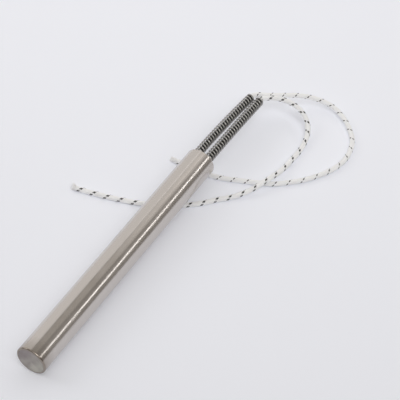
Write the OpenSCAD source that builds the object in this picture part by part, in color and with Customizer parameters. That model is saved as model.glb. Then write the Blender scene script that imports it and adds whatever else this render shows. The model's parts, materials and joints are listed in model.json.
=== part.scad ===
// Cartridge heater with two braided leads guarded by coil springs, lying on a table.
// Sizes are in millimetres. In the heater's own frame Z runs along the sheath from
// the welded tip to the lead end, Y across the two leads and -X towards the top.
// The finished part lies along +X with its tip at the -X end, on the plane Z = 0.

/* [Sheath] */
// Outside diameter of the sheath
sheath_d = 16; // [15:0.5:20]
// Length of the sheath from tip to lead end
sheath_l = 150; // [130:1:180]
// Wall thickness of the sheath tube
sheath_wall = 0.9; // [0.6:0.1:1.1]
// Rounding of the edge round the tip
tip_edge_r = 0.6; // [0.2:0.1:0.8]
// Rounding of the edge round the open lead end
mouth_edge_r = 0.3; // [0.1:0.1:0.5]

/* [Tip] */
// Thickness of the end disc welded into the tip
end_disc_t = 3; // [2:0.5:5]
// Thickness of the insulating disc behind the end disc
tip_insulator_t = 2; // [1:0.5:4]

/* [Core] */
// Diameter of the ceramic cores
core_d = 10; // [9.6:0.1:10.4]
// Number of cores in the stack
core_count = 5; // [3:1:7]

/* [Winding] */
// Diameter of the resistance wire
wire_d = 0.6; // [0.4:0.1:0.8]
// Distance from one turn of the winding to the next
wire_pitch = 2; // [1.6:0.1:3]
// Unwound length at each end of the core stack
cold_end = 3; // [2:0.5:8]

/* [Terminals] */
// Diameter of the terminal pins
pin_d = 2; // [1.4:0.1:2.2]
// Outside diameter of the crimp barrels that join pin and lead
crimp_d = 3.2; // [3:0.1:4]
// Length of the crimp barrels
crimp_l = 8; // [6:0.5:10]
// Diameter of the stripped conductor
conductor_d = 1.4; // [1:0.1:1.8]

/* [Lead end] */
// Distance between the two leads, pin to pin
lead_spacing = 6.8; // [6.6:0.1:7]
// Thickness of the ceramic spacer behind the cores
spacer_t = 4; // [2:0.5:6]
// Length of the cement seal round the crimps
seal_l = 13; // [11:0.5:16]
// Sideways and upward shift of the two lead exits from the sheath's axis
exit_shift = [0.5, 1]; // [-1:0.1:1]
// Length of the ceramic lead cap
cap_l = 7.4; // [6:0.1:10]
// Depth of the lead cap below the sheath's mouth
cap_recess = 0.6; // [0.2:0.1:2]
// Depth of the seat that holds each spring in the lead cap
seat_depth = 4; // [3:0.5:5]

/* [Springs] */
// Outside diameter of the guard springs
spring_d = 5; // [4.6:0.1:5.3]
// Diameter of the spring wire
spring_wire = 0.9; // [0.6:0.05:1]
// Distance from one spring turn to the next
spring_pitch = 2; // [1.4:0.1:2.4]
// Number of turns in each spring
spring_turns = 30; // [20:1:30]
// Sideways and upward bend of the left spring at its tip
left_bend = [-1.7, -1.6]; // [-2:0.1:2]
// Sideways and upward bend of the right spring at its tip
right_bend = [-0.3, -1.6]; // [-2:0.1:2]

/* [Leads] */
// Outside diameter of the braided leads
lead_d = 2.8; // [2.4:0.1:2.9]

/* [Fits] */
// Clearance on the radius of pieces packed in the sheath
packed_gap = 0.05; // [0.02:0.01:0.1]
// Clearance on the radius of a lead in its holes
lead_gap = 0.1; // [0.05:0.05:0.2]
// Clearance on the radius of a spring in its seat
seat_gap = 0.15; // [0.1:0.05:0.2]

/* [Rest] */
// Distance from the tip to the lead that crosses under the sheath
rest_span = 124.5; // [110:0.5:128]
// Room between that lead and the sheath above it
rest_gap = 0.6; // [0.55:0.05:1.5]

/* [Hidden] */
$fn = 48;
bore_r = sheath_d / 2 - sheath_wall;
packed_r = bore_r - packed_gap;
// Flat end left beside a rounded edge, and how far a cut runs past the face it opens
edge_land = 0.1;
over = 1;
tip_r = min(tip_edge_r, sheath_wall - edge_land);
mouth_r = min(mouth_edge_r, sheath_wall - edge_land);
lead_y = lead_spacing / 2;

// Places along the sheath, counted from the tip
insulator_z = end_disc_t;
stack_z = insulator_z + tip_insulator_t;
cap_end_z = sheath_l - cap_recess;
cap_z = cap_end_z - cap_l;
seal_z = cap_z - seal_l;
spacer_z = seal_z - spacer_t;
core_l = (spacer_z - stack_z) / core_count;
crimp_mid_z = seal_z + crimp_l / 2;
crimp_end_z = seal_z + crimp_l;
// Room left between the ends of pin and conductor inside a crimp
splice_gap = 0.2;
// Bare conductor between the crimp and the lead's insulation
bare_l = 0.5;
lead_start_z = crimp_end_z + bare_l;
// A lead runs straight this far before it slants to its exit
lead_straight = 0.6;
slant_z = lead_start_z + lead_straight;
slant_over = 0.4;

// Lead exits, sideways and upwards: as far out as the cap's wall beside a spring lets them
cap_wall = 0.25;
exit_reach = packed_r - spring_d / 2 - seat_gap - cap_wall;
function exit_at(side) =
  let (p = [side * lead_y + exit_shift[0], exit_shift[1]])
  p * min(1, exit_reach / norm(p));
left_exit = exit_at(1);
right_exit = exit_at(-1);

// Resistance winding: an odd number of half turns starts and ends on opposite sides
winding_r = core_d / 2 + packed_gap + wire_d / 2;
winding_z = stack_z + cold_end;
winding_halves = 2 * floor((spacer_z - cold_end - winding_z) / wire_pitch - 0.5) + 1;
winding_end_z = winding_z + winding_halves * wire_pitch / 2;
fill_bore_r = winding_r + wire_d / 2 + packed_gap;
// The winding's tails are drawn thinner, and lie in notches with room on every side
tail_d = 0.8 * wire_d;
tail_room = wire_d / 2 + 2 * packed_gap;

// Guard springs
spring_r = (spring_d - spring_wire) / 2;
spring_z = cap_end_z - seat_depth + spring_wire / 2;
spring_l = spring_turns * spring_pitch;
spring_tip_z = spring_z + spring_l;
// Lap in degrees and step in diameter where the half turns of a coil join
coil_lap = 1.5;
coil_step = 0.01;
wire_sides = 24;

// How the heater lies: its tip's lower edge and the crossing lead are on the table
rest_tilt = asin((lead_d + rest_gap) / rest_span);
rest_z = tip_r + (sheath_d / 2 - tip_r) * cos(rest_tilt) - tip_r * sin(rest_tilt);
high_x = (spring_tip_z + spring_wire / 2) * cos(rest_tilt);
low_x = -(sheath_d / 2 - tip_r) * sin(rest_tilt);
mid_x = (high_x + low_x) / 2;

// Free route of each lead after its spring: X, Y and lift above lying on the table
right_route = [
  [104.9, -3.5, 11.4], [106.4, -4.5, 11.2], [107.8, -6.2, 10.9], [110.2, -9.8, 10.3], [112.2, -14.1, 9.1],
  [112.9, -19, 7.5], [111.4, -25, 5.4], [108.4, -29, 3.5], [103, -32.3, 1.8], [96.5, -34, 0.7],
  [89.5, -34.6, 0.1], [82, -34.4, 0.2], [74, -34.5, 1.2], [65.7, -33.9, 2.8], [57.6, -31.6, 3.2],
  [51.4, -28.7, 1.9], [46.4, -25.1, 0.7], [41.6, -20.9, 0], [36.5, -15.9, 0], [31.2, -11.3, 0],
  [25.3, -4.7, 0], [20.1, 3.3, 0], [15.9, 11.7, 0], [13.2, 18.7, 0], [11.2, 25.6, 0],
  [9.4, 32.7, 0], [7.9, 39.7, 0], [6.6, 46.9, 0], [5.7, 52, 0]
];
left_route = [
  [104.9, 1.7, 11.4], [106.3, 0.7, 11.2], [107.5, -0.9, 10.9], [110.2, -4.3, 10.2], [113.3, -8, 9.4],
  [116.8, -12, 8.7], [121, -16.5, 7.4], [124.7, -21.5, 5.7], [127.4, -27.5, 3.8], [128, -34, 2.2],
  [126, -40, 0.9], [122.5, -45.5, 0.2], [118, -50, 0], [112, -54.5, 0], [105, -57, 0],
  [98, -58, 0], [91, -57.2, 0], [84.4, -54.8, 0], [78.3, -51.3, 0], [72.2, -46.8, 0],
  [66.8, -41.2, 0], [62, -35.5, 0], [58.5, -28.5, 0], [56, -22, 0], [53.5, -15.5, 0],
  [51.2, -9, 0], [50, -2, 0], [49.5, 6, 0], [50, 14, 0], [50, 20, 0]
];
// A lead runs straight on from its spring's tip this far, with a ring about every step
guarded_out = 0.5;
guarded_step = 9;
guarded_l = spring_tip_z + guarded_out - cap_z;
guarded_rings = ceil(guarded_l / guarded_step);
lead_sides = 8;

core_names = [for (i = [1 : core_count]) str("core_", i)];

// Lays the heater's own frame along +X, raised at the lead end by the crossing lead
module laid() {
  translate([-mid_x, 0, rest_z]) rotate([0, 90 - rest_tilt, 0]) children();
}

// A point of the heater's own frame, laid: distance from the tip, sideways, upwards
function laid_point(along, side, up) = [
  along * cos(rest_tilt) - up * sin(rest_tilt) - mid_x,
  side,
  along * sin(rest_tilt) + up * cos(rest_tilt) + rest_z
];

// Share of the tip's bend that a spring has at a distance from the sheath's tip
function bend_share(along) = pow(max(0, along - spring_z) / spring_l, 2);

// Plain round piece from z to z + l
module rod(z, l, r) {
  translate([0, 0, z]) cylinder(r = r, h = l);
}

// The same cut or rod on both lead lines
module both_sides() {
  for (side = [-1, 1]) translate([0, side * lead_y, 0]) children();
}

// The same cut at both lead exits
module both_exits() {
  for (exit = [left_exit, right_exit]) translate([-exit[1], exit[0], 0]) children();
}

// Square corner with its outer edge rounded away, as a cutting profile at the origin
module edge_cut(r) {
  difference() {
    square(r);
    circle(r = r);
  }
}

// Centre of a coil's wire at the end of half turn i, in the plane that the coil bends in
function coil_joint(i, r, pitch, l, bend) =
  let (z = i * pitch / 2)
  let (slope = 2 * bend * z / (l * l))
  let (side = i % 2 == 0 ? r : -r)
  let (n = sqrt(1 + slope * slope))
  [bend * z * z / (l * l) + side / n, z - side * slope / n];

// Half a turn of round wire from joint a to joint b: half a torus whose plane holds both.
// Every other half turn is a hair thinner and runs on into its neighbours by the lap.
module half_turn(a, b, wire, turned, left_hand) {
  middle = (a + b) / 2;
  arm = a - middle;
  sign = turned ? -1 : 1;
  lap = turned ? 0 : coil_lap;
  translate([middle[0], 0, middle[1]])
    rotate([0, atan2(-sign * arm[1], sign * arm[0]), 0])
      rotate([0, 0, (turned != left_hand ? 180 : 0) - lap])
        rotate_extrude(angle = 180 + 2 * lap)
          translate([norm(arm), 0])
            circle(d = turned ? wire : wire - coil_step, $fn = wire_sides);
}

// Wire coil along +Z, with its tip bent towards +X
module coil(r, wire, pitch, halves, bend = 0, left_hand = false) {
  l = halves * pitch / 2;
  for (i = [0 : halves - 1])
    half_turn(
      coil_joint(i, r, pitch, l, bend),
      coil_joint(i + 1, r, pitch, l, bend),
      wire,
      i % 2 == 1,
      left_hand
    );
}

// Seamless tube, rounded at the tip and broken at the mouth
module sheath() {
  color("#b4afab") laid() rotate_extrude() difference() {
    translate([bore_r, 0]) square([sheath_wall, sheath_l]);
    translate([sheath_d / 2 - tip_r, tip_r]) mirror([0, 1]) edge_cut(tip_r);
    translate([sheath_d / 2 - mouth_r, sheath_l - mouth_r]) edge_cut(mouth_r);
  }
}

module end_disc() {
  color("#9a948d") laid() rod(0, end_disc_t, packed_r);
}

module tip_insulator() {
  color("#d9d3c4") laid() rod(insulator_z, tip_insulator_t, packed_r);
}

// Slot that lets the winding's tail in from the face of an end core
module tail_notch(z, l, side) {
  translate([-tail_room, side > 0 ? lead_y : -core_d, z]) cube([2 * tail_room, core_d - lead_y, l]);
}

// One ceramic core: two pin holes, and a notch in the outer face of the first and last
module core(i) {
  z = stack_z + (i - 1) * core_l;
  color("#e6e0d2") laid() difference() {
    rod(z, core_l, core_d / 2);
    both_sides() rod(z - over, core_l + 2 * over, pin_d / 2 + packed_gap);
    if (i == 1) tail_notch(z - over, winding_z + tail_room - z + over, 1);
    if (i == core_count)
      tail_notch(winding_end_z - tail_room, spacer_z - winding_end_z + tail_room + over, -1);
  }
}

// Straight tail from the winding's end to the pin on the same side
module winding_tail(z, side) {
  difference() {
    translate([0, side * winding_r, z])
      rotate([side * 90, 0, 0])
        cylinder(d = tail_d, h = winding_r - lead_y);
    translate([0, side * lead_y, 0]) rod(z - wire_d, 2 * wire_d, pin_d / 2);
  }
}

module resistance_winding() {
  color("#8d8478") laid() {
    translate([0, 0, winding_z]) rotate([0, 0, 90]) coil(winding_r, wire_d, wire_pitch, winding_halves);
    winding_tail(winding_z, 1);
    winding_tail(winding_end_z, -1);
  }
}

// Compacted powder between the winding and the sheath
module magnesia_fill() {
  color("#efece2") laid() difference() {
    rod(stack_z, spacer_z - stack_z, packed_r);
    rod(stack_z - over, spacer_z - stack_z + 2 * over, fill_bore_r);
  }
}

module terminal_pin(z, side) {
  color("#a8a49c") laid() translate([0, side * lead_y, 0])
    rod(z, crimp_mid_z - splice_gap / 2 - z, pin_d / 2);
}

// The long pin reaches the winding's end at the tip, the short one only the last core
module long_pin() {
  terminal_pin(winding_z - wire_d, 1);
}

module short_pin() {
  terminal_pin(spacer_z - core_l, -1);
}

module lead_spacer() {
  color("#ddd6c6") laid() difference() {
    rod(spacer_z, spacer_t, packed_r);
    both_sides() rod(spacer_z - over, spacer_t + 2 * over, pin_d / 2 + packed_gap);
  }
}

// Barrel that takes the pin at one end and the stripped conductor at the other
module crimp(side) {
  color("#c2a878") laid() translate([0, side * lead_y, 0]) difference() {
    rod(seal_z, crimp_l, crimp_d / 2);
    rod(seal_z - over, crimp_l / 2 + over, pin_d / 2 + packed_gap);
    rod(crimp_mid_z - over, crimp_l / 2 + 2 * over, conductor_d / 2 + packed_gap);
  }
}

module conductor(side) {
  color("#b8b4aa") laid() translate([0, side * lead_y, 0])
    rod(crimp_mid_z + splice_gap / 2, lead_start_z - crimp_mid_z - splice_gap / 2, conductor_d / 2);
}

module left_crimp() crimp(1);
module right_crimp() crimp(-1);
module left_conductor() conductor(1);
module right_conductor() conductor(-1);

// Slanting hole from a lead line to the lead's exit at the cap
module slant_hole(side, exit) {
  shift = [-exit[1], exit[0] - side * lead_y];
  rise = cap_z - slant_z;
  translate([0, side * lead_y, slant_z])
    rotate([0, atan2(norm(shift), rise), atan2(shift[1], shift[0])])
      rod(-slant_over, norm([norm(shift), rise]) + 2 * slant_over, lead_d / 2 + lead_gap);
}

module cement_seal() {
  color("#cfc8ba") laid() difference() {
    rod(seal_z, seal_l, packed_r);
    both_sides() {
      rod(seal_z - over, crimp_l + over, crimp_d / 2 + packed_gap);
      rod(crimp_end_z - over, slant_z - crimp_end_z + over + slant_over, lead_d / 2 + lead_gap);
    }
    slant_hole(1, left_exit);
    slant_hole(-1, right_exit);
  }
}

// Ceramic cap with a lead hole and a spring seat on each side
module lead_cap() {
  color("#e9e4d8") laid() difference() {
    rod(cap_z, cap_l, packed_r);
    both_exits() {
      rod(cap_z - over, cap_l + 2 * over, lead_d / 2 + lead_gap);
      rod(cap_end_z - seat_depth, seat_depth + over, spring_d / 2 + seat_gap);
    }
  }
}

// Open-wound guard spring, seated in the cap and bent by its lead
module guard_spring(exit, bend) {
  color("#6f6c69") laid() translate([-exit[1], exit[0], spring_z])
    rotate([0, 0, atan2(bend[0], -bend[1])])
      coil(spring_r, spring_wire, spring_pitch, 2 * spring_turns, norm(bend), left_hand = true);
}

module left_spring() guard_spring(left_exit, left_bend);
module right_spring() guard_spring(right_exit, right_bend);

// Middle line of a lead: slanting to the cap, along its spring's axis to the tip, then over its free route
function lead_line(side, exit, bend, route) = concat(
  [for (z = [lead_start_z, slant_z]) laid_point(z, side * lead_y, 0)],
  [for (k = [0 : guarded_rings])
    let (z = cap_z + k * guarded_l / guarded_rings)
    laid_point(z, exit[0] + bend[0] * bend_share(z), exit[1] + bend[1] * bend_share(z))],
  [for (p = route) [p[0], p[1], p[2] + lead_d / 2]]
);

function unit(v) = v / norm(v);

// Direction of a line of points at point i
function heading(line, i) =
  unit(line[min(i + 1, len(line) - 1)] - line[max(i - 1, 0)]);

// Ring of a tube round point i of a line, square to the line
function tube_ring(line, i, r, sides) =
  let (ahead = heading(line, i))
  let (across = unit(cross([0, 0, 1], ahead)))
  let (above = cross(ahead, across))
  [for (k = [0 : sides - 1]) line[i] + r * (cos(360 * k / sides) * across + sin(360 * k / sides) * above)];

// Closed tube swept along a line of points
module tube(line, r, sides) {
  last = len(line) - 1;
  points = [for (i = [0 : last]) each tube_ring(line, i, r, sides)];
  walls = [for (i = [0 : last - 1]) for (k = [0 : sides - 1])
    let (next = (k + 1) % sides)
    [i * sides + k, (i + 1) * sides + k, (i + 1) * sides + next, i * sides + next]];
  start = [for (k = [0 : sides - 1]) k];
  end = [for (k = [sides - 1 : -1 : 0]) last * sides + k];
  polyhedron(points = points, faces = concat(walls, [start, end]));
}

module left_lead() {
  color("#ecebe8") tube(lead_line(1, left_exit, left_bend, left_route), lead_d / 2, lead_sides);
}

module right_lead() {
  color("#ecebe8") tube(lead_line(-1, right_exit, right_bend, right_route), lead_d / 2, lead_sides);
}

sheath();
end_disc();
tip_insulator();
for (i = [1 : core_count])
  core(i);
resistance_winding();
magnesia_fill();
long_pin();
short_pin();
lead_spacer();
left_crimp();
right_crimp();
left_conductor();
right_conductor();
cement_seal();
lead_cap();
left_spring();
right_spring();
left_lead();
right_lead();
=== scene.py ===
"""Looks of the cartridge heater: finishes, braided leads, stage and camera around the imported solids."""

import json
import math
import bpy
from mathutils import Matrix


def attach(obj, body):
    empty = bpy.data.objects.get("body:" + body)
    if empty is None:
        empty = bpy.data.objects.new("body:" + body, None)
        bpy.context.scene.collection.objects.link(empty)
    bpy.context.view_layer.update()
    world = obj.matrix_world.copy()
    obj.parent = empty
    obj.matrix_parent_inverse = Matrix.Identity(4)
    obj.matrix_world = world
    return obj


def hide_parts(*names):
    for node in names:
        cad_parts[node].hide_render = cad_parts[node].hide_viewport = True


bl_info = {
    "name": "Cartridge heater",
    "version": (1, 0, 0),
    "blender": (4, 5, 0),
    "location": "3D View > Sidebar > Heater",
    "description": "Finishes a cartridge heater with guard springs and braided leads",
    "category": "Object",
}

import bpy
import numpy as np
from bpy.props import FloatProperty, FloatVectorProperty, IntProperty, PointerProperty
from mathutils import Vector

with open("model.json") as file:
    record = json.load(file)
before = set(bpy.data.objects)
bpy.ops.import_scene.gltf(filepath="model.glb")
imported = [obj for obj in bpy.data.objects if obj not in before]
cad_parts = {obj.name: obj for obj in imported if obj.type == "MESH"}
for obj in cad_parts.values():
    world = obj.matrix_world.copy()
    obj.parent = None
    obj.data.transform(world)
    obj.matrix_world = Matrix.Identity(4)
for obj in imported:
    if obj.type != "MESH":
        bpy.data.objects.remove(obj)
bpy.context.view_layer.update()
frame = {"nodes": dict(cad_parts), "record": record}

MM = 0.001
# The heater's own frame as it lies on the table: its tip's centre, the directions along it, to its left and
# up, and the angle by which its lead end is raised
MOUNTS = {mount["name"]: mount for mount in frame["record"]["mounts"]}
TIP = np.array(MOUNTS["tip"]["pos_m"])
ALONG = -np.array(MOUNTS["tip"]["axis"])
SIDE = np.array([0.0, 1.0, 0.0])
RISE = np.cross(ALONG, SIDE)
TILT = math.atan2(ALONG[2], ALONG[0])

# Places along the heater in its own frame, in millimetres from the tip, as the solids have them
CAP_BACK = 142.0
SPRING_SEAT = 145.85
SPRING_TIP = 205.85
GUARDED_END = 206.35
# The length of lead from the cap's back to just past its spring, how many points its line has there, and the
# last stretch of it, over which the painted shade inside the spring fades
GUARDED = GUARDED_END - CAP_BACK
GUARDED_POINTS = 9
SHADE_FADE = 2.0

# Each lead's free route on the table, [X, Y, lift] in millimetres: the lift is of the lead's underside
ROUTES = {
    "right": [
        [104.9, -3.5, 11.4], [106.4, -4.5, 11.2], [107.8, -6.2, 10.9], [110.2, -9.8, 10.3],
        [112.2, -14.1, 9.1], [112.9, -19, 7.5], [111.4, -25, 5.4], [108.4, -29, 3.5], [103, -32.3, 1.8],
        [96.5, -34, 0.7], [89.5, -34.6, 0.1], [82, -34.4, 0.2], [74, -34.5, 1.2], [65.7, -33.9, 2.8],
        [57.6, -31.6, 3.2], [51.4, -28.7, 1.9], [46.4, -25.1, 0.7], [41.6, -20.9, 0], [36.5, -15.9, 0],
        [31.2, -11.3, 0], [25.3, -4.7, 0], [20.1, 3.3, 0], [15.9, 11.7, 0], [13.2, 18.7, 0],
        [11.2, 25.6, 0], [9.4, 32.7, 0], [7.9, 39.7, 0], [6.6, 46.9, 0], [5.7, 52, 0],
    ],
    "left": [
        [104.9, 1.7, 11.4], [106.3, 0.7, 11.2], [107.5, -0.9, 10.9], [110.2, -4.3, 10.2], [113.3, -8, 9.4],
        [116.8, -12, 8.7], [121, -16.5, 7.4], [124.7, -21.5, 5.7], [127.4, -27.5, 3.8], [128, -34, 2.2],
        [126, -40, 0.9], [122.5, -45.5, 0.2], [118, -50, 0], [112, -54.5, 0], [105, -57, 0],
        [98, -58, 0], [91, -57.2, 0], [84.4, -54.8, 0], [78.3, -51.3, 0], [72.2, -46.8, 0],
        [66.8, -41.2, 0], [62, -35.5, 0], [58.5, -28.5, 0], [56, -22, 0], [53.5, -15.5, 0],
        [51.2, -9, 0], [50, -2, 0], [49.5, 6, 0], [50, 14, 0], [50, 20, 0],
    ],
}
# Each lead's exit from the lead cap and how far its spring's tip leans, [side, up] in millimetres
EXIT = {"right": [-2.9, 1.0], "left": [3.9, 1.0]}
LEAN = {"right": [-0.3, -1.6], "left": [-1.7, -1.6]}

# How far the yarns run ahead of an even lay, in turns, at runs along each lead in millimetres: where a lead
# bends, its braid is drawn out or pressed together, as the tracer's dashes in the photograph show
DRIFT = {
    "right": [[64, -0.27], [77, -0.15], [90, 0.05], [109, 0.46], [125, 0.37], [142, -0.08], [156, 0],
              [180, 0.03], [220, 0.08], [253, -0.11]],
    "left": [[64, 0.12], [104, 0.09], [122, 0.34], [166, 0.39], [190, 0.22], [235, 0.11], [254, -0.25]],
}
# Black yarns side by side in each lead, and the part of a turn that puts their dashes on its upper side
TRACERS = {"right": 2, "left": 1}
START = 1 / 40
# The weave begins this far inside the spring, in millimetres, and has this many sides and rings to a yarn
WEAVE_INSIDE = 3.0
YARN_SIDES = 6
YARN_RINGS = 5
# How much wider each lead's frayed end is, how far back the fray reaches in millimetres, the side that it
# spreads to, and how ragged its edge is in millimetres
FLARE = {"right": 0.9, "left": 0.1}
FRAY = 3.0
FRAY_SIDE = math.radians(136)
RAGGED = 0.3
# The rings that turn the cut edge inwards, [millimetres past the end, share of the end's width]
LIPS = [[0.1, 0.86], [-0.6, 0.62], [-1.6, 0.5]]

# The conductor's strands in each layer and the sides of a strand, how far they reach back from the lead's end
# in millimetres, and how deep inside it they are cut, give or take
LAYERS = [1, 6, 12]
STRAND_SIDES = 10
STRAND_REACH = 1.8
CUT_DEPTH = 0.35
CUT_SPREAD = 0.2

# A Mix node's sockets share their names, so they are found by number, as a Math node's two terms are
SHARE, NUMBER_A, NUMBER_B, COLOUR_A, COLOUR_B = 0, 2, 3, 6, 7
NUMBER_OUT, COLOUR_OUT = 0, 2
# The range that a noise mostly keeps to, which is spread over the values wanted
NOISE_SPAN = {"From Min": 0.3, "From Max": 0.7}

# Half the table's width in metres, and the camera's place, turn and lens, fitted to the photograph
TABLE_HALF = 4.0
CAMERA_PLACE = (-0.45922, -0.30813, 0.58109)
CAMERA_TURN = (math.radians(90 - 45.219), 0, math.radians(-58.632))
LENS, SENSOR = 144, 36


def linear(hex_colour):
    """An sRGB hex value as linear red, green and blue."""
    parts = [int(hex_colour[i:i + 2], 16) / 255 for i in (1, 3, 5)]
    return [c / 12.92 if c <= 0.04045 else ((c + 0.055) / 1.055) ** 2.4 for c in parts]


def colour(name, description, hex_colour):
    """A colour that the user may change."""
    return FloatVectorProperty(name=name, description=description, subtype="COLOR", min=0, max=1,
                               default=linear(hex_colour))


def size(name, description, millimetres):
    """A length that the user may change."""
    return FloatProperty(name=name, description=description, subtype="DISTANCE", unit="LENGTH",
                         default=millimetres * MM)


class HeaterSteel(bpy.types.PropertyGroup):
    """Finishes of the metal outside."""
    sheath: colour("Sheath", "Colour that the polished tube reflects", "#CFC9C4")
    # Serves the real heat tint beside the weld and also the painted shade on the tube's rim at the tip
    heat: colour("Heat tint", "Colour of the tube beside the weld", "#90867B")
    tip: colour("Tip", "Colour that the faced end disc reflects", "#B9B6AC")
    # Painted shade: the colour of the end disc's darker, browner side
    tip_shade: colour("Tip's heat tint", "Colour of the disc's browned side", "#968E8C")
    spring: colour("Springs", "Colour that the spring wire reflects", "#B3B1AE")
    sheath_roughness: FloatProperty(name="Sheath roughness", description="How matt the polished tube is",
                                    subtype="FACTOR", min=0, max=1, default=0.21)
    grain: size("Grain", "Spacing of the polishing lines round the tube", 1.2)


class HeaterLeads(bpy.types.PropertyGroup):
    """Sizes and colours of the braided leads."""
    diameter: size("Diameter", "Over the braid", 2.8)
    lay: size("Lay", "Length of lead in which a yarn goes round once", 7.08)
    yarns: IntProperty(name="Yarns", description="Yarns that run each way round, an even number",
                       subtype="UNSIGNED", min=4, max=16, step=2, default=10)
    strand: size("Strand", "Diameter of one of the conductor's strands", 0.28)
    glass: colour("Glass yarn", "Colour of the braid", "#FCFCFC")
    tracer: colour("Tracer yarn", "Colour of the marked yarn", "#151415")
    # Painted shade: the near-black colour of the length inside a spring, where the turns shade it
    spring_shade: colour("Soiled braid", "Colour of the length inside a spring", "#100F0F")


class HeaterStage(bpy.types.PropertyGroup):
    """Table and lights."""
    floor: colour("Floor", "Colour of the table", "#ECEEF5")
    glow: FloatProperty(name="Glow", description="Light through the table, which keeps shadows pale",
                        subtype="FACTOR", min=0, max=1, default=0.13)
    room: colour("Room", "Light from all round", "#8F8B86")
    fill: FloatProperty(name="Fill", description="Power of the large soft light above the camera",
                        unit="POWER", default=1.1)


def laid(along, side, up):
    """Points of the heater's own frame, in millimetres from the tip, as it lies on the table: the tip's
    centre plus each distance along its own direction."""
    along, side, up = (np.asarray(x, float)[..., None] * MM for x in (along, side, up))
    return TIP + along * ALONG + side * SIDE + up * RISE


def spline(points):
    """A smooth curve through the points: a function of the run along it, and its length.

    Between two points each coordinate is a cubic of the chord length, and the cubics' second derivatives
    match where they meet, with none at the ends."""
    points = np.asarray(points, float)
    chords = np.linalg.norm(np.diff(points, axis=0), axis=1)
    knots = np.concatenate([[0], np.cumsum(chords)])
    last = len(points) - 1
    inner = np.arange(1, last)
    system = np.eye(last + 1)
    system[inner, inner - 1] = chords[:-1]
    system[inner, inner] = 2 * (chords[:-1] + chords[1:])
    system[inner, inner + 1] = chords[1:]
    change = np.zeros_like(points)
    change[1:-1] = 6 * np.diff(np.diff(points, axis=0) / chords[:, None], axis=0)
    bend = np.linalg.solve(system, change)

    def at(where):
        k = np.clip(np.searchsorted(knots, where, side="right") - 1, 0, last - 1)
        h = chords[k][:, None]
        a = (knots[k + 1] - where)[:, None] / h
        b = 1 - a
        sag = (a**3 - a) * bend[k] + (b**3 - b) * bend[k + 1]
        return a * points[k] + b * points[k + 1] + sag * h**2 / 6

    steps_to_a_chord = 200
    fine = np.linspace(0, knots[-1], steps_to_a_chord * last)
    run = np.concatenate([[0], np.cumsum(np.linalg.norm(np.diff(at(fine), axis=0), axis=1))])
    return lambda station: at(np.interp(station, run, fine)), run[-1]


def across(centres):
    """A curve's heading at each of its points, and two directions square to it: one level, one upwards."""
    heading = np.gradient(centres, axis=0)
    heading /= np.linalg.norm(heading, axis=1)[:, None]
    level = np.cross([0, 0, 1], heading)
    level /= np.linalg.norm(level, axis=1)[:, None]
    return heading, level, np.cross(heading, level)


def around(angles, level, upward):
    """Directions at angles round a line: level times the cosine plus upward times the sine."""
    return np.cos(angles)[..., None] * level + np.sin(angles)[..., None] * upward


def tubes(name, points, material):
    """A piece of closed tubes: points[tube, ring, side] are joined round each ring and from ring to ring, and
    one face closes each end."""
    count, rings, sides, _ = points.shape
    index = np.arange(count * rings * sides).reshape(count, rings, sides)
    near, far = index[:, :-1], index[:, 1:]
    quads = np.stack([near, np.roll(near, -1, axis=2), np.roll(far, -1, axis=2), far], axis=-1).reshape(-1, 4)
    ends = np.concatenate([index[:, 0, ::-1], index[:, -1]])
    corners = np.concatenate([quads.ravel(), ends.ravel()])
    starts = np.concatenate([np.arange(len(quads)) * 4, quads.size + np.arange(len(ends)) * sides])
    mesh = bpy.data.meshes.new(name)
    mesh.vertices.add(index.size)
    mesh.vertices.foreach_set("co", points.astype(np.float32).ravel())
    mesh.loops.add(len(corners))
    mesh.loops.foreach_set("vertex_index", corners.astype(np.int32))
    mesh.polygons.add(len(starts))
    mesh.polygons.foreach_set("loop_start", starts.astype(np.int32))
    mesh.polygons.foreach_set("use_smooth", np.arange(len(starts)) < len(quads))
    mesh.update(calc_edges=True)
    if mesh.validate():
        raise RuntimeError(f"{name}: the mesh isn't sound")
    mesh.materials.append(material)
    piece = bpy.data.objects.new(name, mesh)
    bpy.context.scene.collection.objects.link(piece)
    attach(piece, "root")
    return piece


def add(tree, kind, inputs=None, **settings):
    """Adds one node: settings are its own values, inputs are constants or the sockets to link."""
    made = tree.nodes.new(kind)
    for key, value in settings.items():
        setattr(made, key, value)
    for key, value in (inputs or {}).items():
        if isinstance(value, bpy.types.NodeSocket):
            tree.links.new(value, made.inputs[key])
        else:
            made.inputs[key].default_value = value
    return made


def finish(name, **inputs):
    """A new material with its shader: inputs are the shader's constants."""
    material = bpy.data.materials.new(name)
    material.use_nodes = True
    shader = material.node_tree.nodes["Principled BSDF"]
    for key, value in inputs.items():
        socket = shader.inputs[key.replace("_", " ")]
        socket.default_value = [*value, 1] if socket.type == "RGBA" else value
    return material, material.node_tree, shader


def dress(node, material):
    """Gives a carried-over solid its finish."""
    for slot in frame["nodes"][node].material_slots:
        slot.material = material


def own_place(tree):
    """Places in the heater's own frame: metres from the tip's centre along it, to its left and up."""
    place = add(tree, "ShaderNodeTexCoord").outputs["Object"]
    start = [-float(TIP @ axis) for axis in (ALONG, SIDE, RISE)]
    own = add(tree, "ShaderNodeMapping", {"Vector": place, "Location": start, "Rotation": (0, TILT, 0)})
    return own.outputs["Vector"]


def clouded(tree, shader, place, patch, smooth, dull, detail=3):
    """Makes a finish duller in some patches than in others: a cloud with patches of this size takes the
    roughness from smooth to dull. The cloud is returned, for other patterns to follow."""
    cloud = add(tree, "ShaderNodeTexNoise", {"Vector": place, "Scale": 1 / patch, "Detail": detail})
    rough = add(tree, "ShaderNodeMapRange", {"Value": cloud.outputs["Fac"], **NOISE_SPAN, "To Min": smooth,
                                             "To Max": dull})
    tree.links.new(rough.outputs["Result"], shader.inputs["Roughness"])
    return cloud


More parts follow.
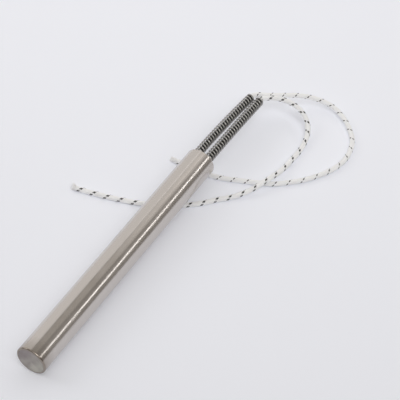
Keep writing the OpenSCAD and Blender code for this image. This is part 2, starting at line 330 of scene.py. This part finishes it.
def polished_stainless(looks):
    """Drawn stainless tube, polished while it turns: satin, in faint cloudy patches, with lines round it and
    a dull brown tint where the tip was welded, strongest at its very edge, where it is also painted shade."""
    patch, give = 9 * MM, 0.04
    tint_start, tint_end = 0.5 * MM, 9 * MM
    bead_and_shade_start, bead_and_shade_end = 0.7 * MM, 1.3 * MM
    material, tree, shader = finish("polished_stainless", Metallic=1)
    own = own_place(tree)
    # The real lines are far finer than the render shows, so they are drawn coarser
    drawn_out = add(tree, "ShaderNodeMapping", {"Vector": own, "Scale": (1, 0.06, 0.06)})
    lines = add(tree, "ShaderNodeTexNoise", {"Vector": drawn_out.outputs["Vector"], "Scale": 1 / looks.grain,
                                             "Detail": 2})
    cloud = add(tree, "ShaderNodeTexNoise", {"Vector": own, "Scale": 1 / patch, "Detail": 3})
    both = add(tree, "ShaderNodeMix", {SHARE: 0.2, NUMBER_A: cloud.outputs["Fac"],
                                       NUMBER_B: lines.outputs["Fac"]}, data_type="FLOAT")
    rough = add(tree, "ShaderNodeMapRange", {"Value": both.outputs[NUMBER_OUT], **NOISE_SPAN,
                                             "To Min": looks.sheath_roughness - give,
                                             "To Max": looks.sheath_roughness + give})
    tree.links.new(rough.outputs["Result"], shader.inputs["Roughness"])
    run = add(tree, "ShaderNodeSeparateXYZ", {"Vector": own}).outputs["X"]
    heat = add(tree, "ShaderNodeMapRange", {"Value": run, "From Min": tint_start, "From Max": tint_end,
                                            "To Min": 0.9, "To Max": 0})
    tint = add(tree, "ShaderNodeMath", {0: heat.outputs["Result"], 1: cloud.outputs["Fac"]},
               operation="MULTIPLY")
    # The rim at the tip is painted darker: partly weld tint, partly painted shade on the rounded edge
    weld_bead_and_shade = add(tree, "ShaderNodeMapRange", {"Value": run, "From Min": bead_and_shade_start, "From Max": bead_and_shade_end,
                                            "To Min": 0.85, "To Max": 0})
    brown = add(tree, "ShaderNodeMath", {0: tint.outputs["Value"], 1: weld_bead_and_shade.outputs["Result"]},
                operation="MAXIMUM")
    tone = add(tree, "ShaderNodeMix", {SHARE: brown.outputs["Value"], COLOUR_A: [*looks.sheath, 1],
                                       COLOUR_B: [*looks.heat, 1]}, data_type="RGBA")
    tree.links.new(tone.outputs[COLOUR_OUT], shader.inputs["Base Color"])
    return material


def faced_stainless(looks):
    """Welded and faced stainless disc: duller than the tube, with painted shade that makes its left and upper
    side darker and browner, and a painted highlight in a lighter fan, as the facing tool's rings throw light."""
    painted_shade_start, painted_shade_end = -5 * MM, 9 * MM
    highlight_at, highlight_gain = math.radians(-110), 1.14
    material, tree, shader = finish("faced_stainless", Metallic=1)
    own = own_place(tree)
    cloud = clouded(tree, shader, own, 4 * MM, 0.36, 0.5)
    split = add(tree, "ShaderNodeSeparateXYZ", {"Vector": own})
    # Painted shade lies to the left and above, darker and browner, and the clouds break its edge
    slope = add(tree, "ShaderNodeMath", {0: split.outputs["Y"], 1: split.outputs["Z"]}, operation="ADD")
    side = add(tree, "ShaderNodeMapRange", {"Value": slope.outputs["Value"], "From Min": painted_shade_start,
                                            "From Max": painted_shade_end, "To Min": -0.25, "To Max": 0.75})
    share = add(tree, "ShaderNodeMath", {0: side.outputs["Result"], 1: cloud.outputs["Fac"]}, operation="ADD",
                use_clamp=True)
    brown = add(tree, "ShaderNodeMix", {SHARE: share.outputs["Value"], COLOUR_A: [*looks.tip, 1],
                                        COLOUR_B: [*looks.tip_shade, 1]}, data_type="RGBA")
    # Painted highlight: the base colour is made lighter in a fan across the disc, standing in for the facing
    # rings' sheen
    angle = add(tree, "ShaderNodeMath", {0: split.outputs["Z"], 1: split.outputs["Y"]}, operation="ARCTAN2")
    away = add(tree, "ShaderNodeMath", {0: angle.outputs["Value"], 1: highlight_at}, operation="SUBTRACT")
    near = add(tree, "ShaderNodeMath", {0: away.outputs["Value"]}, operation="COSINE")
    fan = add(tree, "ShaderNodeMapRange", {"Value": near.outputs["Value"], "From Min": 0.7, "From Max": 1,
                                           "To Min": 1, "To Max": highlight_gain})
    tone = add(tree, "ShaderNodeVectorMath", {0: brown.outputs[COLOUR_OUT], "Scale": fan.outputs["Result"]},
               operation="SCALE")
    tree.links.new(tone.outputs["Vector"], shader.inputs["Base Color"])
    return material


def spring_wire(looks):
    """Bright drawn spring wire: dark grey where it mirrors its own turns."""
    material, tree, shader = finish("spring_wire", Base_Color=looks.spring, Metallic=1)
    place = add(tree, "ShaderNodeTexCoord").outputs["Object"]
    clouded(tree, shader, place, 0.5 * MM, 0.26, 0.36, detail=2)
    return material


def fired_ceramic(name, hex_colour, dark_hex, grit, rough):
    """Fired or pressed oxide: matt, off-white, with grains a little darker than the rest."""
    material, tree, shader = finish(name, Roughness=rough)
    place = add(tree, "ShaderNodeTexCoord").outputs["Object"]
    grains = add(tree, "ShaderNodeTexNoise", {"Vector": place, "Scale": 1 / grit, "Detail": 4,
                                              "Roughness": 0.7})
    share = add(tree, "ShaderNodeMapRange", {"Value": grains.outputs["Fac"], "From Min": 0.35,
                                             "From Max": 0.65})
    tone = add(tree, "ShaderNodeMix", {SHARE: share.outputs["Result"], COLOUR_A: [*linear(dark_hex), 1],
                                       COLOUR_B: [*linear(hex_colour), 1]}, data_type="RGBA")
    tree.links.new(tone.outputs[COLOUR_OUT], shader.inputs["Base Color"])
    bump = add(tree, "ShaderNodeBump", {"Height": grains.outputs["Fac"], "Strength": 0.3,
                                        "Distance": 0.03 * MM})
    tree.links.new(bump.outputs["Normal"], shader.inputs["Normal"])
    return material


def drawn_metal(name, hex_colour, rough):
    """Drawn wire, pin or barrel of a plain metal: bright, with patches that are a little duller."""
    patch, give = 0.8 * MM, 0.08
    material, tree, shader = finish(name, Base_Color=linear(hex_colour), Metallic=1)
    place = add(tree, "ShaderNodeTexCoord").outputs["Object"]
    clouded(tree, shader, place, patch, rough - give, rough + give)
    return material


def glass_braid(looks):
    """Braided glass-fibre yarn: white and soft, with light passing through it, so that no side is dark. Each
    yarn is streaked along its filaments, and the tracer is black."""
    material, tree, shader = finish("glass_braid", Roughness=0.75, Sheen_Weight=0.25, Sheen_Roughness=0.5,
                                    Subsurface_Scale=2.2 * MM, Subsurface_Radius=(1, 1, 1))
    # The yarn's number plus the place across it, the run along the lead in millimetres, and 1 on the tracer
    yarn = add(tree, "ShaderNodeAttribute", attribute_name="yarn").outputs["Vector"]
    split = add(tree, "ShaderNodeSeparateXYZ", {"Vector": yarn})
    # Filaments are far finer than the render shows, so they are drawn about ten to a yarn
    drawn_out = add(tree, "ShaderNodeMapping", {"Vector": yarn, "Scale": (10, 0.4, 0)})
    streak = add(tree, "ShaderNodeTexNoise", {"Vector": drawn_out.outputs["Vector"], "Scale": 1, "Detail": 2})
    shade = add(tree, "ShaderNodeMapRange", {"Value": streak.outputs["Fac"], **NOISE_SPAN, "To Min": 0.93,
                                             "To Max": 1})
    white = add(tree, "ShaderNodeMix", {SHARE: shade.outputs["Result"], COLOUR_A: [0, 0, 0, 1],
                                        COLOUR_B: [*looks.glass, 1]}, data_type="RGBA")
    tone = add(tree, "ShaderNodeMix", {SHARE: split.outputs["Z"], COLOUR_A: white.outputs[COLOUR_OUT],
                                       COLOUR_B: [*looks.tracer, 1]}, data_type="RGBA")
    through = add(tree, "ShaderNodeMapRange", {"Value": split.outputs["Z"], "To Min": 1, "To Max": 0})
    tree.links.new(through.outputs["Result"], shader.inputs["Subsurface Weight"])
    # The length in the spring is painted near-black as shade, which is why no white shows between the turns
    out_of_shade = add(tree, "ShaderNodeMapRange", {"Value": split.outputs["Y"], "From Min": GUARDED - SHADE_FADE,
                                             "From Max": GUARDED})
    with_painted_shade = add(tree, "ShaderNodeMix", {SHARE: out_of_shade.outputs["Result"], COLOUR_A: [*looks.spring_shade, 1],
                                       COLOUR_B: tone.outputs[COLOUR_OUT]}, data_type="RGBA")
    tree.links.new(with_painted_shade.outputs[COLOUR_OUT], shader.inputs["Base Color"])
    bump = add(tree, "ShaderNodeBump", {"Height": streak.outputs["Fac"], "Strength": 0.4,
                                        "Distance": 0.03 * MM})
    tree.links.new(bump.outputs["Normal"], shader.inputs["Normal"])
    return material


def opal_board(looks):
    """Matt opal board, lit a little from below: an even, nearly white table with pale shadows."""
    return finish("opal_board", Base_Color=looks.floor, Roughness=0.9, Emission_Color=looks.floor,
                  Emission_Strength=looks.glow)[0]


def lead_line(side, diameter):
    """A lead's centre line in metres, as spline gives it: along its spring's axis, which leans by the square
    of the share of the spring that is past, then its route."""
    guarded = np.linspace(CAP_BACK, GUARDED_END, GUARDED_POINTS)
    share = np.clip((guarded - SPRING_SEAT) / (SPRING_TIP - SPRING_SEAT), 0, None) ** 2
    seat, lean = EXIT[side], LEAN[side]
    inside = laid(guarded, seat[0] + lean[0] * share, seat[1] + lean[1] * share)
    free = np.array(ROUTES[side]) * MM + [0, 0, diameter / 2]
    return spline(np.concatenate([inside, free]))


def braid(side, looks, material):
    """A braided lead: a tube whose radius is that of the upper yarn at each place.

    With a the angle round the lead in turns, s the run along it and t = s/L plus the drift, L being the lay,
    the n yarns that run one way are bands of p = n(a - t), and those that run the other way are bands of
    q = n(a + t). The bands' numbers are i and j, the whole parts of p and q. A yarn is an arch across its
    band, and waves up and down along it so that it goes over two of the others and then under two. Over the
    fray the radius grows by the flare times the square of the share that is past, most on one side, and
    three more rings turn the cut edge inwards."""
    n, radius = looks.yarns, looks.diameter / 2
    curve, length = lead_line(side, looks.diameter)
    # Inside the spring nothing of the weave shows, so the rings there are a millimetre apart
    hidden = (GUARDED - WEAVE_INSIDE) * MM
    woven = int((length - hidden) / looks.lay * n * YARN_RINGS)
    run = np.concatenate([np.arange(0, hidden - MM / 2, MM), np.linspace(hidden, length, woven)])
    line = curve(run)
    line[:, 2] = np.maximum(line[:, 2], radius)
    drift = np.array(DRIFT[side])
    turns = run / looks.lay + np.interp(run / MM, drift[:, 0], drift[:, 1])
    sides = YARN_SIDES * n
    a, t = np.meshgrid(np.arange(sides) / sides - START, turns)
    p, q = n * (a - t), n * (a + t)
    i, j = np.floor(p), np.floor(q)
    wave, arch, core, tracer_edge = (share * radius for share in (0.06, 0.14, 0.82, 0.04))

    def yarn(place, other, number, sign):
        height = np.sqrt(np.clip(1 - (2 * (place - number) - 1) ** 2, 0, 1))
        return arch * height + sign * wave * np.cos(math.pi / 2 * (number + other - 1))

    one, two = yarn(p, q, i, 1), yarn(q, p, j, -1)
    over = one > two
    r = core + np.maximum(one, two)
    r[run < hidden] = core
    turn = 2 * math.pi * (a + START)
    spread = FLARE[side] * np.clip((run - length) / (FRAY * MM) + 1, 0, 1)[:, None] ** 2
    r *= 1 + spread * (0.5 + 0.5 * np.cos(turn - FRAY_SIDE))
    ragged = spread * RAGGED * MM * np.sin(7 * turn) * np.cos(3 * turn + 1)
    heading, level, upward = across(line)
    outward = around(turn, level[:, None], upward[:, None])
    points = line[:, None] + r[..., None] * outward + ragged[..., None] * heading[:, None]
    beyond, width = np.array(LIPS).T[..., None, None]
    lips = line[-1] + beyond * MM * heading[-1] + width * (points[-1] - line[-1])
    points = np.concatenate([points, lips])
    points[..., 2] = np.maximum(points[..., 2], 0)
    piece = tubes(f"{side}_lead_braid", points[None], material)

    marked = np.where(one > two + tracer_edge, 0, np.mod(j, n) < TRACERS[side])
    number = np.where(over, np.mod(i, n), n + np.mod(j, n))
    band = np.where(over, p - i, q - j)
    facts = np.stack([band + number, np.broadcast_to(run[:, None] / MM, a.shape), marked], axis=-1)
    facts = np.concatenate([facts, np.repeat(facts[-1:], len(lips), axis=0)])
    attribute = piece.data.attributes.new("yarn", "FLOAT_VECTOR", "POINT")
    attribute.data.foreach_set("vector", facts.astype(np.float32).ravel())
    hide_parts(f"{side}_lead")
    return piece, line, length, (heading[-1], level[-1], upward[-1])


def strands(side, looks, end, directions, material):
    """The conductor's cut end inside the braid: one strand, six round it and twelve round those. Each is a
    straight tube, and a sine of its place in the layer sets how deep it is cut."""
    heading, level, upward = directions
    layer = np.repeat(np.arange(len(LAYERS)), LAYERS)
    place = np.concatenate([np.arange(count) / count for count in LAYERS]) * 2 * math.pi
    out = (layer * looks.strand)[:, None] * around(place, level, upward)
    cuts = (-CUT_DEPTH + CUT_SPREAD * np.sin(5 * place + layer)) * MM
    run = np.stack([np.full(len(cuts), -STRAND_REACH * MM), cuts], axis=1)
    ring = looks.strand / 2 * around(np.arange(STRAND_SIDES) / STRAND_SIDES * 2 * math.pi, level, upward)
    points = end + out[:, None, None] + run[..., None, None] * heading + ring
    return tubes(f"{side}_lead_strands", points, material)


class HEATER_OT_leads(bpy.types.Operator):
    """Braids the two leads along their routes"""
    bl_idname = "heater.leads"
    bl_label = "Braid the leads"

    def execute(self, context):
        looks = context.scene.heater_leads
        material, wire = glass_braid(looks), drawn_metal("nickel_strand", "#B9B3A8", 0.35)
        for side in ("left", "right"):
            piece, line, length, directions = braid(side, looks, material)
            cut = strands(side, looks, line[-1], directions, wire)
        return {"FINISHED"}


class HEATER_OT_steel(bpy.types.Operator):
    """Finishes the sheath, its tip and the guard springs"""
    bl_idname = "heater.steel"
    bl_label = "Finish the steel"

    def execute(self, context):
        looks = context.scene.heater_steel
        dress("sheath", polished_stainless(looks))
        dress("end_disc", faced_stainless(looks))
        wire = spring_wire(looks)
        dress("left_spring", wire)
        dress("right_spring", wire)
        return {"FINISHED"}


class HEATER_OT_inside(bpy.types.Operator):
    """Finishes the lead cap and the pieces inside the sheath"""
    bl_idname = "heater.inside"
    bl_label = "Finish the inside"

    def execute(self, context):
        slots = {
            "cap_ceramic": fired_ceramic("fired_steatite", "#E8E3D9", "#D6D0C3", 0.4 * MM, 0.6),
            "core_ceramic": fired_ceramic("fired_magnesia_core", "#E6E0D1", "#D2CBB9", 0.5 * MM, 0.7),
            "magnesia": fired_ceramic("pressed_magnesia", "#EDEBE0", "#DCD8CA", 0.25 * MM, 0.85),
            "cement": fired_ceramic("set_cement", "#CFC7BA", "#B3AB9C", 0.6 * MM, 0.9),
            "resistance_wire": drawn_metal("nickel_chrome_wire", "#8C8578", 0.4),
            "pin_nickel": drawn_metal("drawn_nickel", "#B0AA9E", 0.35),
            "crimp_brass": drawn_metal("drawn_brass", "#C2A878", 0.35),
        }
        for part in frame["record"]["subparts"]:
            if part["material_slot"] in slots:
                dress(part["node"], slots[part["material_slot"]])
        return {"FINISHED"}


def lay_table(scene, looks):
    """A square table top at the floor's height."""
    half = TABLE_HALF
    corners = [(-half, -half, 0), (half, -half, 0), (half, half, 0), (-half, half, 0)]
    mesh = bpy.data.meshes.new("floor")
    mesh.from_pydata(corners, [], [(0, 1, 2, 3)])
    mesh.materials.append(opal_board(looks))
    floor = bpy.data.objects.new("floor", mesh)
    scene.collection.objects.link(floor)


def softbox(name, place, aim, width, height, power, spread=180, tint="#FFFFFF"):
    """A plain area light that points at a place, with a grid where its spread is less than 180 degrees."""
    data = bpy.data.lights.new(name, "AREA")
    data.shape, data.size, data.size_y, data.energy = "RECTANGLE", width, height, power
    data.spread, data.color = math.radians(spread), linear(tint)
    lamp = bpy.data.objects.new(name, data)
    lamp.location = place
    lamp.rotation_euler = (Vector(aim) - Vector(place)).to_track_quat("-Z", "Y").to_euler()
    lamp.visible_camera = False
    bpy.context.scene.collection.objects.link(lamp)


def light(scene, looks):
    """The room's even light and the soft lights in it."""
    world = bpy.data.worlds.new("room")
    world.use_nodes = True
    world.node_tree.nodes["Background"].inputs["Color"].default_value = [*looks.room, 1]
    scene.world = world
    # The tube mirrors these: the wall down its left side, the roof and the ceiling on top, the slope beside
    # them and the strip as its highlight. The ceiling is near, so the tube is brighter towards its mouth
    softbox("wall", (0.62, 0.754, 0.504), (0.62, 0.064, -0.076), 1.3, 1.3, 2.75)
    softbox("roof", (1.0, -0.2, 1.4), (0, 0, 0), 0.9, 0.9, 0.36, tint="#FFF8EC")
    softbox("ceiling", (0.605, 0.05, 0.49), (0.168, 0.05, -0.12), 0.4, 0.58, 0.29)
    softbox("slope", (0.548, -0.268, 0.408), (0.111, 0.046, -0.115), 0.2, 0.58, 0.096)
    softbox("strip", (0.87, -0.95, 0.74), (0, 0, 0), 1.4, 0.07, 1.4)
    # These light the tip, the springs, the leads and the table
    softbox("left", (-0.15, 0.9, 0.65), (0.1, 0.1, 0), 0.5, 0.6, 0.55, 100)
    softbox("fill", (-0.35, -0.6, 1.2), (0.2, 0.1, 0), 0.9, 0.9, looks.fill, 65)
    softbox("top", (-0.1, 0.15, 1.5), (0.1, 0.05, 0), 1.2, 1.2, 0.5, 75)


def place_camera(scene):
    """The camera, where the photograph was taken from."""
    lens = bpy.data.cameras.new("camera")
    lens.lens, lens.sensor_width = LENS, SENSOR
    camera = bpy.data.objects.new("camera", lens)
    camera.location = CAMERA_PLACE
    camera.rotation_euler = CAMERA_TURN
    scene.collection.objects.link(camera)
    scene.camera = camera


class HEATER_OT_stage(bpy.types.Operator):
    """Lays the table and sets the lights and the camera"""
    bl_idname = "heater.stage"
    bl_label = "Set the stage"

    def execute(self, context):
        scene, looks = context.scene, context.scene.heater_stage
        scene.view_settings.view_transform = "Standard"
        lay_table(scene, looks)
        light(scene, looks)
        place_camera(scene)
        return {"FINISHED"}


class HEATER_PT_panel(bpy.types.Panel):
    """Lists the heater's steps and settings"""
    bl_idname = "HEATER_PT_panel"
    bl_label = "Cartridge heater"
    bl_space_type = "VIEW_3D"
    bl_region_type = "UI"
    bl_category = "Heater"

    def draw(self, context):
        for group, operator in (("heater_leads", HEATER_OT_leads), ("heater_steel", HEATER_OT_steel),
                                (None, HEATER_OT_inside), ("heater_stage", HEATER_OT_stage)):
            box = self.layout.box()
            if group:
                settings = getattr(context.scene, group)
                for name in settings.__annotations__:
                    box.prop(settings, name)
            box.operator(operator.bl_idname)


GROUPS = {"heater_leads": HeaterLeads, "heater_steel": HeaterSteel, "heater_stage": HeaterStage}
CLASSES = (*GROUPS.values(), HEATER_OT_leads, HEATER_OT_steel, HEATER_OT_inside, HEATER_OT_stage,
           HEATER_PT_panel)


def register():
    """Registers the classes and gives the scene its settings."""
    for item in CLASSES:
        bpy.utils.register_class(item)
    for name, group in GROUPS.items():
        setattr(bpy.types.Scene, name, PointerProperty(type=group))


def unregister():
    """Takes away what register gave."""
    for name in GROUPS:
        delattr(bpy.types.Scene, name)
    for item in reversed(CLASSES):
        bpy.utils.unregister_class(item)


def main():
    """Makes every piece in order."""
    register()
    bpy.ops.heater.stage()
    bpy.ops.heater.leads()
    bpy.ops.heater.steel()
    bpy.ops.heater.inside()


if __name__ == "__main__":
    main()
